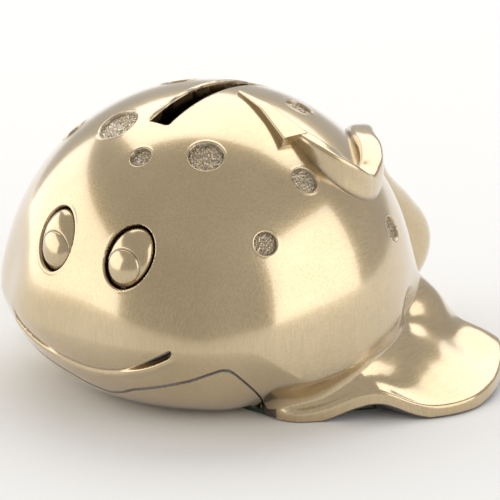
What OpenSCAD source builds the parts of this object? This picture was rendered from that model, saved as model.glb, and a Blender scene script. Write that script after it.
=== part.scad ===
/* [Body] */
// Radius of the round body
ball_r = 45; // [44:0.5:46]
// Height of the ball's centre above the table
ball_h = 21; // [20.5:0.1:21.5]
// Wall thickness of the castings
wall = 2.8; // [2.4:0.1:3]
// Gap left all round the seam between the two castings
seam_gap = 0.4; // [0.3:0.05:0.6]
// Thickness of the rounded lip round the fins
lip_t = 3; // [2.4:0.1:3.2]

/* [Coin slot] */
// Length of the coin slot
slot_l = 34; // [30:1:36]
// Width of the coin slot
slot_w = 5; // [4.5:0.1:5.5]

/* [Eyes] */
// Length of an eye insert
eye_l = 13.4; // [12:0.2:14]
// Width of an eye insert
eye_w = 9.8; // [9:0.2:10.4]
// Groove left round an eye insert
eye_gap = 0.9; // [0.5:0.1:1.1]
// Depth of the eye pocket
eye_pocket = 1.8; // [1.4:0.1:2]

/* [Decoration] */
// Depth of the round recessed spots
spot_depth = 0.8; // [0.5:0.1:1.2]
// Radius of the mouth groove
mouth_r = 0.9; // [0.6:0.1:1.2]

/* [Base] */
// Thickness of the felt under the base
felt_t = 0.8; // [0.6:0.1:0.8]
// Thickness of the base plate
plate_t = 3; // [2.8:0.1:3.2]
// Diameter of the hole for emptying the bank
stopper_d = 26; // [24:0.5:26.5]

/* [Hidden] */

brass = [0.72, 0.63, 0.45];
steel = [0.72, 0.73, 0.75];
rubber = [0.12, 0.12, 0.12];
felt = [0.1, 0.22, 0.15];

// Heights above the table
lip_low = 0.3;
belly_low = felt_t;
plate_top = felt_t + plate_t;

// Azimuths are in degrees from the head, and each table is [azimuth, value] on one side.
// The body is the same on both sides.
columns = [for (a = [0:6:54]) a, for (a = [57:3:93]) a, 95, 97, 98.5, 100, for (a = [104:4:132]) a,
           134.5, 136, 137.5, 139, 140.5, 142, 146, 151, for (a = [156:6:174]) a];

// Height, from the ball's centre, where the fins and jaw leave the ball
crease_h = [[0, 0], [52, 0], [64, -6], [73, -10.2], [84, -8.8], [97, -7.3], [109, -4.8],
            [118, -1.8], [129, 1.5], [137, 3], [143, 0], [180, 0]];
// How far the surface keeps to the ball below that height
crease_run = [[0, 2.5], [52, 2.5], [70, 2], [100, 3], [130, 3], [137, 2], [143, 7], [180, 7]];
// Distance of the lower edge from the vertical axis
edge_rho = [[0, 20.3], [50, 21.5], [57, 24], [63, 28.5], [66, 33], [73, 36.6], [83, 41.9],
            [88, 46.8], [93, 48.6], [96, 50], [98, 54.3], [100, 58.5], [105, 60], [114, 61.5],
            [126, 63.6], [136, 64], [138, 61], [139.5, 52], [141, 42], [144, 39], [180, 38.7]];
// Height of the lower edge's top above the table
edge_h = [[0, 0.8], [50, 0.8], [63, 1.2], [66, 2.4], [73, 3.3], [83, 5], [88, 6.3], [93, 6],
          [96, 5], [99, 3.4], [105, 3.3], [114, 3.5], [126, 5], [136, 5.2], [139, 4],
          [142, 1.2], [146, 0.8], [180, 0.8]];
// Sideways and upward reach of the curve as it arrives at the lower edge
arrive_out = [[0, -15.7], [50, -15.7], [60, -9], [68, -3], [80, -1], [92, 2], [100, 7], [114, 10],
              [126, 12], [137, 11], [141, 0], [146, -1], [180, -1]];
arrive_up = [[0, -0.6], [50, -0.6], [60, 3], [68, 6], [80, 5], [92, 3], [100, 1.5], [114, 1.5],
             [126, 2.5], [137, 5], [141, 8], [180, 8]];
// Height of the seam above the table under the head: low in front, a peak behind the mouth
seam_h = [[0, 7.5], [12, 8.5], [24, 10.8], [34, 13.4], [44, 16.5], [63, 4.2], [180, 4.2]];
// Outline of the base plate inside the fins, and of the jaw's bottom in front
plate_rho = [[0, 70], [63, 70], [65.5, 27.5], [74, 30.5], [82, 34], [90, 39], [98, 44], [108, 51],
             [118, 54], [129, 54], [134, 50], [140, 38], [146, 34.5], [180, 34.5]];

function soft(a, table, w) = (lookup(a - w, table) + 2 * lookup(a, table) + lookup(a + w, table)) / 4;
function side(a) = abs(a > 180 ? 360 - a : a);
function smooth(x) = let (c = min(max(x, 0), 1)) c * c * (3 - 2 * c);

// Four control points of the curve from the ball down to the lower edge, as [rho, z]
function control(a) =
    let (zk = soft(a, crease_h, 2), rk = sqrt(ball_r * ball_r - zk * zk), run = soft(a, crease_run, 2),
         re = soft(a, edge_rho, 1), ze = soft(a, edge_h, 1) - ball_h)
    [[rk, zk], [rk + run * zk / ball_r, zk - run * rk / ball_r],
     [re - soft(a, arrive_out, 2), ze + soft(a, arrive_up, 2)], [re, ze]];
function bezier(p, t) = pow(1 - t, 3) * p[0] + 3 * t * pow(1 - t, 2) * p[1]
                        + 3 * t * t * (1 - t) * p[2] + t * t * t * p[3];
function slope(p, t) = pow(1 - t, 2) * (p[1] - p[0]) + 2 * t * (1 - t) * (p[2] - p[1])
                       + t * t * (p[3] - p[2]);
function inset(p, t) = let (d = slope(p, t)) bezier(p, t) + wall * [d[1], -d[0]] / norm(d);
function t_floor(p, z, lo, hi, n) =
    n == 0 ? (lo + hi) / 2
    : let (m = (lo + hi) / 2) inset(p, m)[1] > z ? t_floor(p, z, m, hi, n - 1) : t_floor(p, z, lo, m, n - 1);

function place(a, q) = [q[0] * cos(a), q[0] * sin(a), q[1] + ball_h];
// 180 degrees stands between the two sides
all_columns = [for (a = columns) a, 180, for (i = [len(columns) - 1:-1:1]) 360 - columns[i]];

// A closed solid from rings of the same number of points, with a point at each end
module ringed(top, rings, bottom) {
    n = len(rings[0]);
    m = len(rings);
    points = [top, for (ring = rings) each ring, bottom];
    faces = [for (i = [0:n - 1]) [0, 1 + (i + 1) % n, 1 + i],
             for (j = [0:m - 2], i = [0:n - 1])
                 let (p = 1 + j * n + i, q = 1 + j * n + (i + 1) % n) each [[p, q, q + n], [p, q + n, p + n]],
             for (i = [0:n - 1]) [1 + m * n, 1 + (m - 1) * n + i, 1 + (m - 1) * n + (i + 1) % n]];
    polyhedron(points, faces, convexity = 8);
}

dome_rows = 7;
flare_rows = 8;
seam_columns = 94;

// Everything inside the outer surface, with a flat bottom
module outer_form() {
    p = [for (a = all_columns) control(side(a))];
    dome = [for (j = [1:dome_rows])
        [for (i = [0:len(all_columns) - 1])
            let (low = asin(p[i][0][1] / ball_r), e = 90 - (90 - low) * j / dome_rows)
            place(all_columns[i], ball_r * [cos(e), sin(e)])]];
    flare = [for (j = [1:flare_rows])
        [for (i = [0:len(all_columns) - 1]) place(all_columns[i], bezier(p[i], j / flare_rows))]];
    edge = [for (drop = [[0.35, 0.35], [0.1, 1]])
        [for (i = [0:len(all_columns) - 1])
            let (e = p[i][3], top = e[1] + ball_h, low = max(top - lip_t, lip_low))
            place(all_columns[i], [e[0] + (top > lip_t ? drop[0] : -drop[0]), low + (top - low) * (1 - drop[1]) - ball_h])]];
    ringed([0, 0, ball_h + ball_r], concat(dome, flare, edge), [0, 0, lip_low]);
}

// The hollow inside the walls, down to the top of the base plate
module hollow_form() {
    // The hollow of a fin is narrower than the fin by a wall at its front and back
    function shifted(a) = a < 58 || a > 158 ? a
        : a < 104 ? a - 3.5 * smooth((a - 58) / 12)
        : a - 3.5 + 8.5 * smooth((a - 104) / 22) - 5 * smooth((a - 140) / 18);
    inner_r = ball_r - wall;
    p = [for (a = all_columns) control(shifted(side(a)))];
    t_end = [for (q = p) t_floor(q, plate_top - ball_h, 0, 1, 12)];
    dome = [for (j = [1:dome_rows - 1])
        [for (i = [0:len(all_columns) - 1])
            let (low = asin(p[i][0][1] / ball_r), e = 90 - (90 - low) * j / (dome_rows - 1))
            place(all_columns[i], inner_r * [cos(e), sin(e)])]];
    flare = [for (j = [1:flare_rows - 2])
        [for (i = [0:len(all_columns) - 1])
            let (q = inset(p[i], t_end[i] * j / (flare_rows - 2)))
            place(all_columns[i], [q[0], j == flare_rows - 2 ? plate_top - ball_h : q[1]])]];
    ringed([0, 0, ball_h + inner_r], concat(dome, flare), [0, 0, plate_top]);
}

// The space of the lower casting, grown by g where it has to clear the upper one
module lower_form(g) {
    low = belly_low - (g > 0 ? 5 : 0);
    function turned(a) = max(side(a) - 2 * g, 0);
    around = [for (i = [0:seam_columns - 1]) (i + 0.5) * 360 / seam_columns];
    rim = [for (a = around) lookup(turned(a), plate_rho) + g];
    top = [for (a = around) max(soft(turned(a), seam_h, 1), plate_top) + g];
    ringed([0, 0, ball_h - 2],
           [for (level = [0:2]) [for (i = [0:seam_columns - 1])
               place(around[i], [level == 0 ? ball_r / 5 : rim[i], (level == 2 ? low : top[i]) - ball_h])]],
           [0, 0, low]);
}

// A tube of rounded-square section through path rows of [x, y, z, half width, half height],
// with its height pointing away from the ball's centre
function unit(v) = v / norm(v);
module swept(path, sides, power) {
    n = len(path);
    function at(i) = [path[i][0], path[i][1], path[i][2]];
    function bulge(c) = sign(c) * pow(abs(c), 2 / power);
    rings = [for (i = [0:n - 1])
        let (t = unit(at(min(i + 1, n - 1)) - at(max(i - 1, 0))),
             up = unit(at(i) - (at(i) * t) * t), across = cross(t, up))
        [for (k = [0:sides - 1])
            let (a = 360 * (k + 0.5) / sides)
            at(i) + path[i][3] * bulge(cos(a)) * across + path[i][4] * bulge(sin(a)) * up + [0, 0, ball_h]]];
    ringed(at(0) + [0, 0, ball_h], rings, at(n - 1) + [0, 0, ball_h]);
}

// Directions on the ball: azimuth from the head and height angle
module on_ball(az, el) {
    translate([0, 0, ball_h])
        rotate([0, 90 - el, az])
            translate([0, 0, ball_r])
                children();
}

eye_az = 14.5;
eye_el = 24.5;
eye_turn = 17;
eye_rise = 1.1;

module eye_oval(grow, low, high, count) {
    translate([0, 0, low])
        scale([eye_l / 2 + grow, eye_w / 2 + grow, 1])
            cylinder(r = 1, h = high - low, $fn = count);
}

// Each spot is [azimuth, height angle, diameter]
spots = [[-27.5, 61.5, 9.4], [5.5, 54, 5], [38, 56.5, 7.8], [80, 45, 6.2], [57.5, 29, 5.2],
         [132, 64, 6.6], [-109, 73.5, 7.6], [-62, 48, 6.4], [-88, 30, 5.4], [-140, 52, 7],
         [-160, 33, 5], [162, 40, 6], [112, 22, 5.6]];

mouth_half = 29;
function mouth_z(a) = -8.4 + 7.6 * pow(abs(a) / mouth_half, 2);
function mouth_point(a) = let (p = control(0), z = mouth_z(a), t = mouth_t(p, z, 0, 1, 12)) place(a, bezier(p, t));
function mouth_t(p, z, lo, hi, n) =
    n == 0 ? (lo + hi) / 2
    : let (m = (lo + hi) / 2) bezier(p, m)[1] > z ? mouth_t(p, z, m, hi, n - 1) : mouth_t(p, z, lo, m, n - 1);

module mouth_groove() {
    steps = 10;
    path = [for (i = [0:steps])
        let (a = mouth_half * (2 * i / steps - 1), q = mouth_point(a), r = i == 0 || i == steps ? 0.5 : mouth_r)
        [q[0], q[1], q[2] - ball_h, r, r]];
    swept(path, 6, 2);
}

// Screws that hold the belly, each [x, y]
front_screw = [17, 0];
side_screw = [-18, 38.5];
// Screws that hold the tail, each [height, distance from the middle of the bank to its head's seat]
tail_screws = [[11, 39.6], [17.4, 40.6]];
screw_r = 1.5;
pilot_r = 1.55;
clear_r = 1.7;
head_r = 2.8;
head_t = 1.6;
head_pocket_r = 3.1;
boss_r = 4;
side_boss_r = 3.6;
stopper_at = [-17.6, 0];
slide_gap = 0.25;
flange_r = stopper_d / 2 + 2;
flange_t = 1.5;

// Upper casting before its holes and spots
module upper_blank() {
    boss_low = plate_top + seam_gap;
    resize([0, 0, 0])
        union() {
            difference() {
                outer_form();
                hollow_form();
                lower_form(seam_gap);
                translate([-slot_l / 2, -slot_w / 2, ball_h + ball_r * 0.7])
                    cube([slot_l, slot_w, ball_r]);
                for (y = [-1, 1])
                    on_ball(y * eye_az, eye_el)
                        rotate(-y * eye_turn)
                            eye_oval(eye_gap, -eye_pocket, 3, 34);
                mouth_groove();
            }
            translate([front_screw[0], front_screw[1], boss_low])
                cylinder(r = boss_r, h = 20, $fn = 24);
            translate([front_screw[0], -2, 13])
                cube([40 - front_screw[0], 4, 11]);
            for (y = [-1, 1])
                translate([side_screw[0], y * side_screw[1], boss_low])
                    cylinder(r = side_boss_r, h = 6, $fn = 24);
        }
}

module body_shell() {
    color(brass)
        difference() {
            upper_blank();
            for (s = spots)
                on_ball(s[0], s[1])
                    translate([0, 0, -spot_depth])
                        cylinder(d = s[2], h = 3, $fn = 32);
            translate([front_screw[0], front_screw[1], 0])
                cylinder(r = pilot_r, h = 16, $fn = 32);
            for (y = [-1, 1])
                translate([side_screw[0], y * side_screw[1], 0])
                    cylinder(r = pilot_r, h = 9.4, $fn = 32);
            for (s = tail_screws)
                translate([-30, 0, s[0]])
                    rotate([0, -90, 0]) {
                        cylinder(r = clear_r, h = 18, $fn = 32);
                        cylinder(r = head_pocket_r, h = s[1] - 30, $fn = 32);
                    }
        }
}

module belly_shell() {
    color(brass)
        difference() {
            resize([0, 0, 0])
                difference() {
                    intersection() {
                        outer_form();
                        lower_form(0);
                    }
                    hollow_form();
                }
            translate([stopper_at[0], stopper_at[1], -1])
                cylinder(r = stopper_d / 2, h = 12, $fn = 96);
            translate([stopper_at[0], stopper_at[1], belly_low - 1])
                cylinder(r = flange_r + 0.4, h = 1 + flange_t, $fn = 96);
            for (s = [front_screw, side_screw, [side_screw[0], -side_screw[1]]])
                translate([s[0], s[1], 0]) {
                    cylinder(r = clear_r, h = 10, $fn = 32);
                    cylinder(r = head_pocket_r, h = belly_low + head_t, $fn = 32);
                }
        }
}

// From the arrow's tip on the back of the ball, over the top and down to the root behind.
// Each row is [x, y, z from the ball's centre, half width, half height].
tail_path = [[-2.2, 8.2, 44.6, 0.5, 0.8], [-1, 15, 43.2, 2.2, 1.6], [0.4, 22, 40.3, 3.8, 1.9],
             [0, 24, 39.2, 3.8, 2], [-2, 26, 37.9, 2.6, 2.6], [-3.4, 29.4, 35.6, 2.6, 3],
             [-5.4, 32.4, 32.6, 2.6, 3.2], [-8.6, 34, 29.6, 2.7, 3.2], [-12.2, 34, 27.8, 2.8, 3.2],
             [-15.8, 32, 28.8, 2.8, 3.2], [-19.6, 28.4, 30.4, 2.9, 3.2], [-25, 22.8, 31.2, 3, 3.2],
             [-30.2, 17.6, 30.2, 3.3, 3.2], [-35.4, 13.2, 27, 3.9, 3.6], [-40.4, 9.4, 22.2, 4.6, 4.2],
             [-45.8, 6.2, 16.4, 5.8, 5.2], [-52, 4.2, 10.4, 6.8, 6.4], [-57.6, 3, 3.6, 7.5, 7.3],
             [-60.6, 2.4, -3.2, 8.2, 8.2], [-55.4, 1.2, -8.4, 8.2, 8.2], [-46, 0.5, -9, 7.6, 7.8],
             [-36, 0, -8, 7.2, 7.4]];

module tail() {
    color(brass)
        difference() {
            resize([0, 0, 0])
                difference() {
                    swept(tail_path, 12, 3);
                    outer_form();
                }
            for (s = tail_screws)
                translate([-38, 0, s[0]])
                    rotate([0, -90, 0])
                        cylinder(r = pilot_r, h = 16, $fn = 32);
        }
}

// A domed oval that sits on the floor of its pocket
module eye(y) {
    dome_h = eye_rise + eye_pocket;
    color(brass)
        on_ball(y * eye_az, eye_el)
            rotate(-y * eye_turn)
                translate([0, 0, -eye_pocket])
                    resize([0, 0, 0])
                        difference() {
                            scale([eye_l / 2, eye_w / 2, dome_h])
                                sphere(r = 1, $fn = 26);
                            translate([0, 0, -10])
                                cube([40, 40, 20], center = true);
                        }
}

module coin_stopper() {
    plug_h = 9;
    color(rubber)
        translate([stopper_at[0], stopper_at[1], 0])
            rotate_extrude($fn = 96)
                polygon([[0, belly_low + 0.3], [flange_r - 0.4, belly_low + 0.3], [flange_r, belly_low + 0.6],
                         [flange_r, belly_low + flange_t - 0.1], [stopper_d / 2 - slide_gap, belly_low + flange_t - 0.1],
                         [stopper_d / 2 - slide_gap, plug_h - 1], [stopper_d / 2 - 1.2, plug_h],
                         [stopper_d / 2 - 3, plug_h], [stopper_d / 2 - 3, belly_low + 3], [0, belly_low + 3]]);
}

module base_felt() {
    inset = 1.6;
    outline = [for (a = all_columns)
        let (s = side(a), r = min(soft(s, edge_rho, 2), soft(s, plate_rho, 3)) - inset)
        r * [cos(a), sin(a)]];
    color(felt)
        difference() {
            linear_extrude(belly_low - 0.05)
                polygon(outline);
            translate([stopper_at[0], stopper_at[1], -1])
                cylinder(r = flange_r + 0.6, h = 4, $fn = 96);
            for (s = [front_screw, side_screw, [side_screw[0], -side_screw[1]]])
                translate([s[0], s[1], -1])
                    cylinder(r = head_pocket_r + 0.3, h = 4, $fn = 32);
        }
}

// A pan-head screw with its head's lower face at z = 0 and its shank upwards
module screw(length) {
    color(steel)
        difference() {
            union() {
                cylinder(r = head_r, h = head_t - 0.15, $fn = 32);
                cylinder(r = screw_r, h = head_t + length, $fn = 32);
            }
            for (t = [0, 90])
                rotate(t)
                    translate([-1.7, -0.4, -1])
                        cube([3.4, 0.8, 1.9]);
        }
}

module belly_screw(at) {
    translate([at[0], at[1], belly_low + 0.1])
        screw(6.2);
}

module tail_screw(at) {
    translate([head_t - 0.1 - at[1], 0, at[0]])
        rotate([0, -90, 0])
            screw(12);
}

module eye_left() { eye(1); }
module eye_right() { eye(-1); }
module belly_screw_front() { belly_screw(front_screw); }
module belly_screw_left() { belly_screw(side_screw); }
module belly_screw_right() { belly_screw([side_screw[0], -side_screw[1]]); }
module tail_screw_lower() { tail_screw(tail_screws[0]); }
module tail_screw_upper() { tail_screw(tail_screws[1]); }

body_shell();
belly_shell();
tail();
eye_left();
eye_right();
coin_stopper();
base_felt();
belly_screw_front();
belly_screw_left();
belly_screw_right();
tail_screw_upper();
tail_screw_lower();
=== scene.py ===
import math

import bpy
import numpy as np
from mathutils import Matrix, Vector


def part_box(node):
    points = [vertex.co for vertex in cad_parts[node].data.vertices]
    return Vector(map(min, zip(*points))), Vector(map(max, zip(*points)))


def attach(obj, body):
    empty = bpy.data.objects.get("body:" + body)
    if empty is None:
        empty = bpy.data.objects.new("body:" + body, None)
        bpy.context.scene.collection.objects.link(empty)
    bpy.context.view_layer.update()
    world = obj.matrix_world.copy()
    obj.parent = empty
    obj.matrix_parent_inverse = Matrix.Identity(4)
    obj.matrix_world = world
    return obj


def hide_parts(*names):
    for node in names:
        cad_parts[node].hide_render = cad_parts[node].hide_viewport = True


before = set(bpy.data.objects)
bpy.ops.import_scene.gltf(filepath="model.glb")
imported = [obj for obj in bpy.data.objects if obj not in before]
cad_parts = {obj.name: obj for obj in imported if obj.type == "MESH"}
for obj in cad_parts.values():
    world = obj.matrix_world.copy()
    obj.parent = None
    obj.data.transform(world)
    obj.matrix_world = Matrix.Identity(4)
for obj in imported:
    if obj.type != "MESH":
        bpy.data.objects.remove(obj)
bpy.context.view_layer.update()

# Sizes are in millimetres and angles in degrees until a mesh is made, in metres.
# Azimuth is measured from the head (+X), and the two sides of the body are alike.
MM = 0.001
SHELL_LOW, SHELL_HIGH = [np.array(c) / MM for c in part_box("body_shell")]
BALL_H = 21.0
BALL_R = SHELL_HIGH[2] - BALL_H
WALL = 2.8
LIP_LOW = SHELL_LOW[2]
PLATE_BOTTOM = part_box("belly_shell")[0][2] / MM
PLATE_T = 3.0
PLATE_TOP = PLATE_BOTTOM + PLATE_T
# Clearance round the plates in the fins, and the radius of their edges
PLATE_GAP = 0.4
SEAM_GAP = 0.35
# Radii of the lip's upper edge, of the seam's edges and of the lip's lower edge
LIP_R = 0.7
SEAM_R = 0.45
FOOT_R = 0.45
# The lip's height, and the least height of the edge where there is no lip
LIP_T = 3.0
EDGE_T = 1.4

# Tables of [azimuth, value]. The crease is where the flare leaves the ball: its height from the
# ball's centre, and how far the flare first runs on along the ball.
CREASE_H = [[0, 0], [52, 0], [62, -6], [68, -9.5], [78, -8.5], [90, -7.8], [101, -7.2], [109, -5.8],
            [118, -2.4], [129, 1.2], [137, 2.6], [143, 0], [180, 0]]
CREASE_RUN = [[0, 2.5], [52, 2.5], [66, 1.2], [112, 1.2], [130, 2], [137, 2], [143, 7], [180, 7]]
# The lower edge: its distance from the axis, and its top's height above the table
EDGE_RHO = [[0, 20.3], [50, 21.5], [57, 24], [63, 28.5], [66, 33], [70, 36.2], [77, 38.3], [83, 41.9],
            [88, 46.6], [91, 48.8], [94, 51.2], [98.5, 55.6], [103, 59], [108, 61.3], [115, 62.8],
            [120, 63.1], [129, 63], [136, 62.4], [138, 60], [139.5, 52], [141, 42], [144, 39],
            [180, 38.7]]
EDGE_H = [[0, 0.8], [50, 0.8], [63, 1.2], [66, 2.6], [73, 2.9], [77, 3.2], [80, 4], [84, 6], [88, 7.8],
          [91, 7.2], [94, 5], [98, 3], [105, 3], [111, 3.6], [116, 4.6], [126, 5.4], [136, 5.2],
          [139, 4], [142, 1.2], [146, 0.8], [180, 0.8]]
# Where the flare comes to the edge from: how far inside the edge, and how far above it
ARRIVE_OUT = [[0, -15.7], [50, -15.7], [58, -10], [64, -1], [68, 3.2], [80, 3.6], [90, 4.5], [100, 7.5],
              [114, 10], [126, 12], [137, 11], [141, 0], [146, -1], [180, -1]]
ARRIVE_UP = [[0, -0.6], [50, -0.6], [60, 3], [68, 3], [80, 3], [90, 2.8], [100, 1.8], [114, 1.7],
             [126, 2.5], [137, 5], [141, 8], [180, 8]]
# Height of the seam above the table
SEAM_H = [[0, 5.5], [8, 7], [14, 8.9], [24, 11], [34, 13.4], [42, 16.2], [44, 16.6], [46, 16], [66, 0.3],
          [180, -9]]
# Distance of the base plate's rim from the axis
PLATE_RHO = [[0, 24], [57, 24], [65.5, 27.5], [74, 30.5], [82, 34], [90, 39], [98, 44], [108, 51],
             [118, 54], [129, 54], [134, 50], [140, 38], [146, 34.5], [180, 34.5]]

# More than any distance on the body
FAR = 99.0

# Features of the face, as directions on the ball
EYES = [[14.5, 24.6], [-14.5, 24.6]]
EYE_TILT = 17.0
EYE_HALF = np.array([6.7, 4.9])
EYE_GROOVE = 0.7
EYE_POCKET = 1.8
EYE_RISE = 1.3
# The mouth is a parabola over azimuth, with its ends at plus and minus MOUTH_HALF
MOUTH_HALF = 29.0
MOUTH_LOW = -8.4
MOUTH_RISE = 7.6
# Half the length and half the width of the coin slot
SLOT_HALF = np.array([17.0, 2.5])
SPOT_DEPTH = 0.75
# [azimuth, height angle, diameter]
SPOTS = [[-27.5, 61.5, 9.4], [5.5, 54, 5], [38, 56.5, 7.8], [80, 45, 6.2], [57.5, 29, 5.2],
         [132, 64, 6.6], [-109, 73.5, 7.6], [-62, 48, 6.4], [-88, 30, 5.4], [-140, 52, 7],
         [-160, 33, 5], [162, 40, 6], [112, 22, 5.6]]

STOPPER_AT = np.array([-17.6, 0.0])
STOPPER_R = 13.0
FLANGE_R = 15.0
FLANGE_T = 1.5
SCREWS_AT = [[17.0, 0.0], [-18.0, 38.5], [-18.0, -38.5]]


# ---------------------------------------------------------------- shapes

def smooth(x):
    c = np.clip(x, 0, 1)
    return c * c * (3 - 2 * c)


def side(a):
    """Azimuth on either side of the body, from 0 at the head to 180 at the back."""
    a = np.abs(np.asarray(a, float))
    return np.where(a > 180, 360 - a, a)


STEP = 0.25
ANGLES = np.arange(-60, 240 + STEP, STEP)


def softened(table, spread):
    """The table as a function of azimuth, with its corners rounded over about spread degrees."""
    t = np.array(table, float)
    values = np.interp(side(ANGLES), t[:, 0], t[:, 1])
    reach = int(3 * spread / STEP)
    kernel = np.exp(-0.5 * (np.arange(-reach, reach + 1) * STEP / spread) ** 2)
    values = np.convolve(np.pad(values, reach, mode="edge"), kernel / kernel.sum(), mode="valid")
    return lambda a: np.interp(side(a), ANGLES, values)


crease_h = softened(CREASE_H, 2.5)
crease_run = softened(CREASE_RUN, 2.5)
edge_rho = softened(EDGE_RHO, 1.4)
edge_h = softened(EDGE_H, 1.8)
arrive_out = softened(ARRIVE_OUT, 3.0)
arrive_up = softened(ARRIVE_UP, 3.0)
seam_h = softened(SEAM_H, 0.8)
plate_rho = softened(PLATE_RHO, 2.0)


def control(a):
    """Control points of the curve from the ball down to the lower edge: (n, 4, 2) of (rho, z)."""
    zk = crease_h(a)
    rk = np.sqrt(BALL_R ** 2 - zk ** 2)
    run = crease_run(a) / BALL_R
    re, ze = edge_rho(a), edge_h(a) - BALL_H
    return np.stack([np.stack([rk, zk], -1),
                     np.stack([rk + run * zk, zk - run * rk], -1),
                     np.stack([re - arrive_out(a), ze + arrive_up(a)], -1),
                     np.stack([re, ze], -1)], 1)


def unit(v):
    return v / np.maximum(np.linalg.norm(v, axis=1, keepdims=True), 1e-9)


def bezier(p, t):
    t = t[:, None]
    return ((1 - t) ** 3 * p[:, 0] + 3 * t * (1 - t) ** 2 * p[:, 1]
            + 3 * t * t * (1 - t) * p[:, 2] + t ** 3 * p[:, 3])


def slope(p, t):
    """Unit tangent of the curve, pointing down."""
    t = t[:, None]
    d = ((1 - t) ** 2 * (p[:, 1] - p[:, 0]) + 2 * t * (1 - t) * (p[:, 2] - p[:, 1])
         + t * t * (p[:, 3] - p[:, 2]))
    return unit(d)


def inward(p, t):
    """Unit normal of the curve, pointing into the wall."""
    d = slope(p, t)
    return np.stack([d[:, 1], -d[:, 0]], 1)


def inset(p, t):
    """The curve of the inner surface, a wall's thickness inside the outer one."""
    return bezier(p, t) + WALL * inward(p, t)


def reach_height(curve, p, z):
    """The t at which the curve comes down to height z, or 1 where it never does."""
    halvings = 22
    lo, hi = np.zeros(len(p)), np.ones(len(p))
    for _ in range(halvings):
        mid = (lo + hi) / 2
        above = curve(p, mid)[:, 1] > z
        lo, hi = np.where(above, mid, lo), np.where(above, hi, mid)
    return (lo + hi) / 2


def shifted(a):
    """Azimuth whose outer curve shapes the inner surface at a: the hollow of a fin is narrower
    than the fin, by the front and back angles."""
    front_turn, back_turn = 3.5, 5
    s = side(a)
    front = s - front_turn * smooth((s - 58) / 12)
    back = s - front_turn + (front_turn + back_turn) * smooth((s - 104) / 22)
    back = back - back_turn * smooth((s - 140) / 18)
    return np.where((s < 58) | (s > 158), s, np.where(s < 104, front, back))


def along(nodes, s):
    """A point on the broken line through nodes, each (n, 2), at s from 0 to 1."""
    k = len(nodes) - 1
    stack = np.stack(nodes, 1)
    i = np.clip((s * k).astype(int), 0, k - 1)
    f = (s * k - i)[:, None]
    rows = np.arange(len(s))
    return stack[rows, i] * (1 - f) + stack[rows, i + 1] * f


def direction(az, el):
    az, el = math.radians(az), math.radians(el)
    return np.array([math.cos(el) * math.cos(az), math.cos(el) * math.sin(az), math.sin(el)])


# Swellings and hollows of both sides: [azimuth, radius, height from the ball's centre,
# movement outwards, movement upwards, width]
SWELLS = [[24, 45, 1.6, 1, 0, 8], [37, 44, 8, -0.9, -0.2, 6], [53, 45, 1, 0.7, 0, 7],
          [131, 50, -3, 2.4, 1.4, 4.8], [133, 61, -13, 0.4, 2.6, 5], [117, 45.5, -3, -1.4, -0.8, 3]]


def swell(xyz):
    """Moves points with the broad swellings and hollows near them."""
    move = np.zeros(xyz.shape)
    for az, rho, z, out, up, wide in SWELLS:
        for y in (-1, 1):
            w = math.radians(y * az)
            centre = [rho * math.cos(w), rho * math.sin(w), z + BALL_H]
            share = np.exp(-0.5 * ((xyz - centre) ** 2).sum(1) / wide ** 2)
            move += share[:, None] * [out * math.cos(w), out * math.sin(w), up]
    return xyz + move


def spin(a, q):
    """Points in space from azimuths and (rho, z)."""
    a = np.radians(a)
    return np.stack([q[:, 0] * np.cos(a), q[:, 0] * np.sin(a), q[:, 1] + BALL_H], 1)


ARC = np.linspace(0, 90, 5)


def fin_share(a):
    """0 on the head, where the casting ends at the seam, and 1 where it ends in the lip of a fin."""
    return smooth((side(a) - 62) / 4)


def lip(a, p, t_out, t_in, p_in):
    """From the end of the outer surface round the edge to the start of the inner surface."""
    share = fin_share(a)[:, None]
    tangent = slope(p, t_out)
    radius = SEAM_R + (LIP_R - SEAM_R) * share
    down = unit(inward(p, t_out) * (1 - share) + np.array([0.05, -1.0]) * share)
    start = bezier(p, t_out)
    end = inset(p_in, t_in)
    height = np.maximum(start[:, 1:] + BALL_H - LIP_LOW, EDGE_T)
    drop = WALL * (1 - share) + np.minimum(height, LIP_T) * share
    nodes = [start + radius * (math.sin(w) * tangent + (1 - math.cos(w)) * down)
             for w in np.radians(ARC)]
    back = unit(-tangent * (1 - share) + np.array([-1.0, 0.0]) * share)
    foot = nodes[-1] + (drop - radius - FOOT_R) * down
    nodes += [foot + FOOT_R * (math.sin(w) * down + (1 - math.cos(w)) * back)
              for w in np.radians(ARC)]
    rim = np.stack([plate_rho(a) + PLATE_GAP, nodes[-1][:, 1]], 1)
    nodes.append(end * (1 - share) + rim * share)
    nodes.append(end * (1 - share) + np.stack([rim[:, 0], end[:, 1]], 1) * share)
    nodes.append(end)
    return nodes


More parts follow.
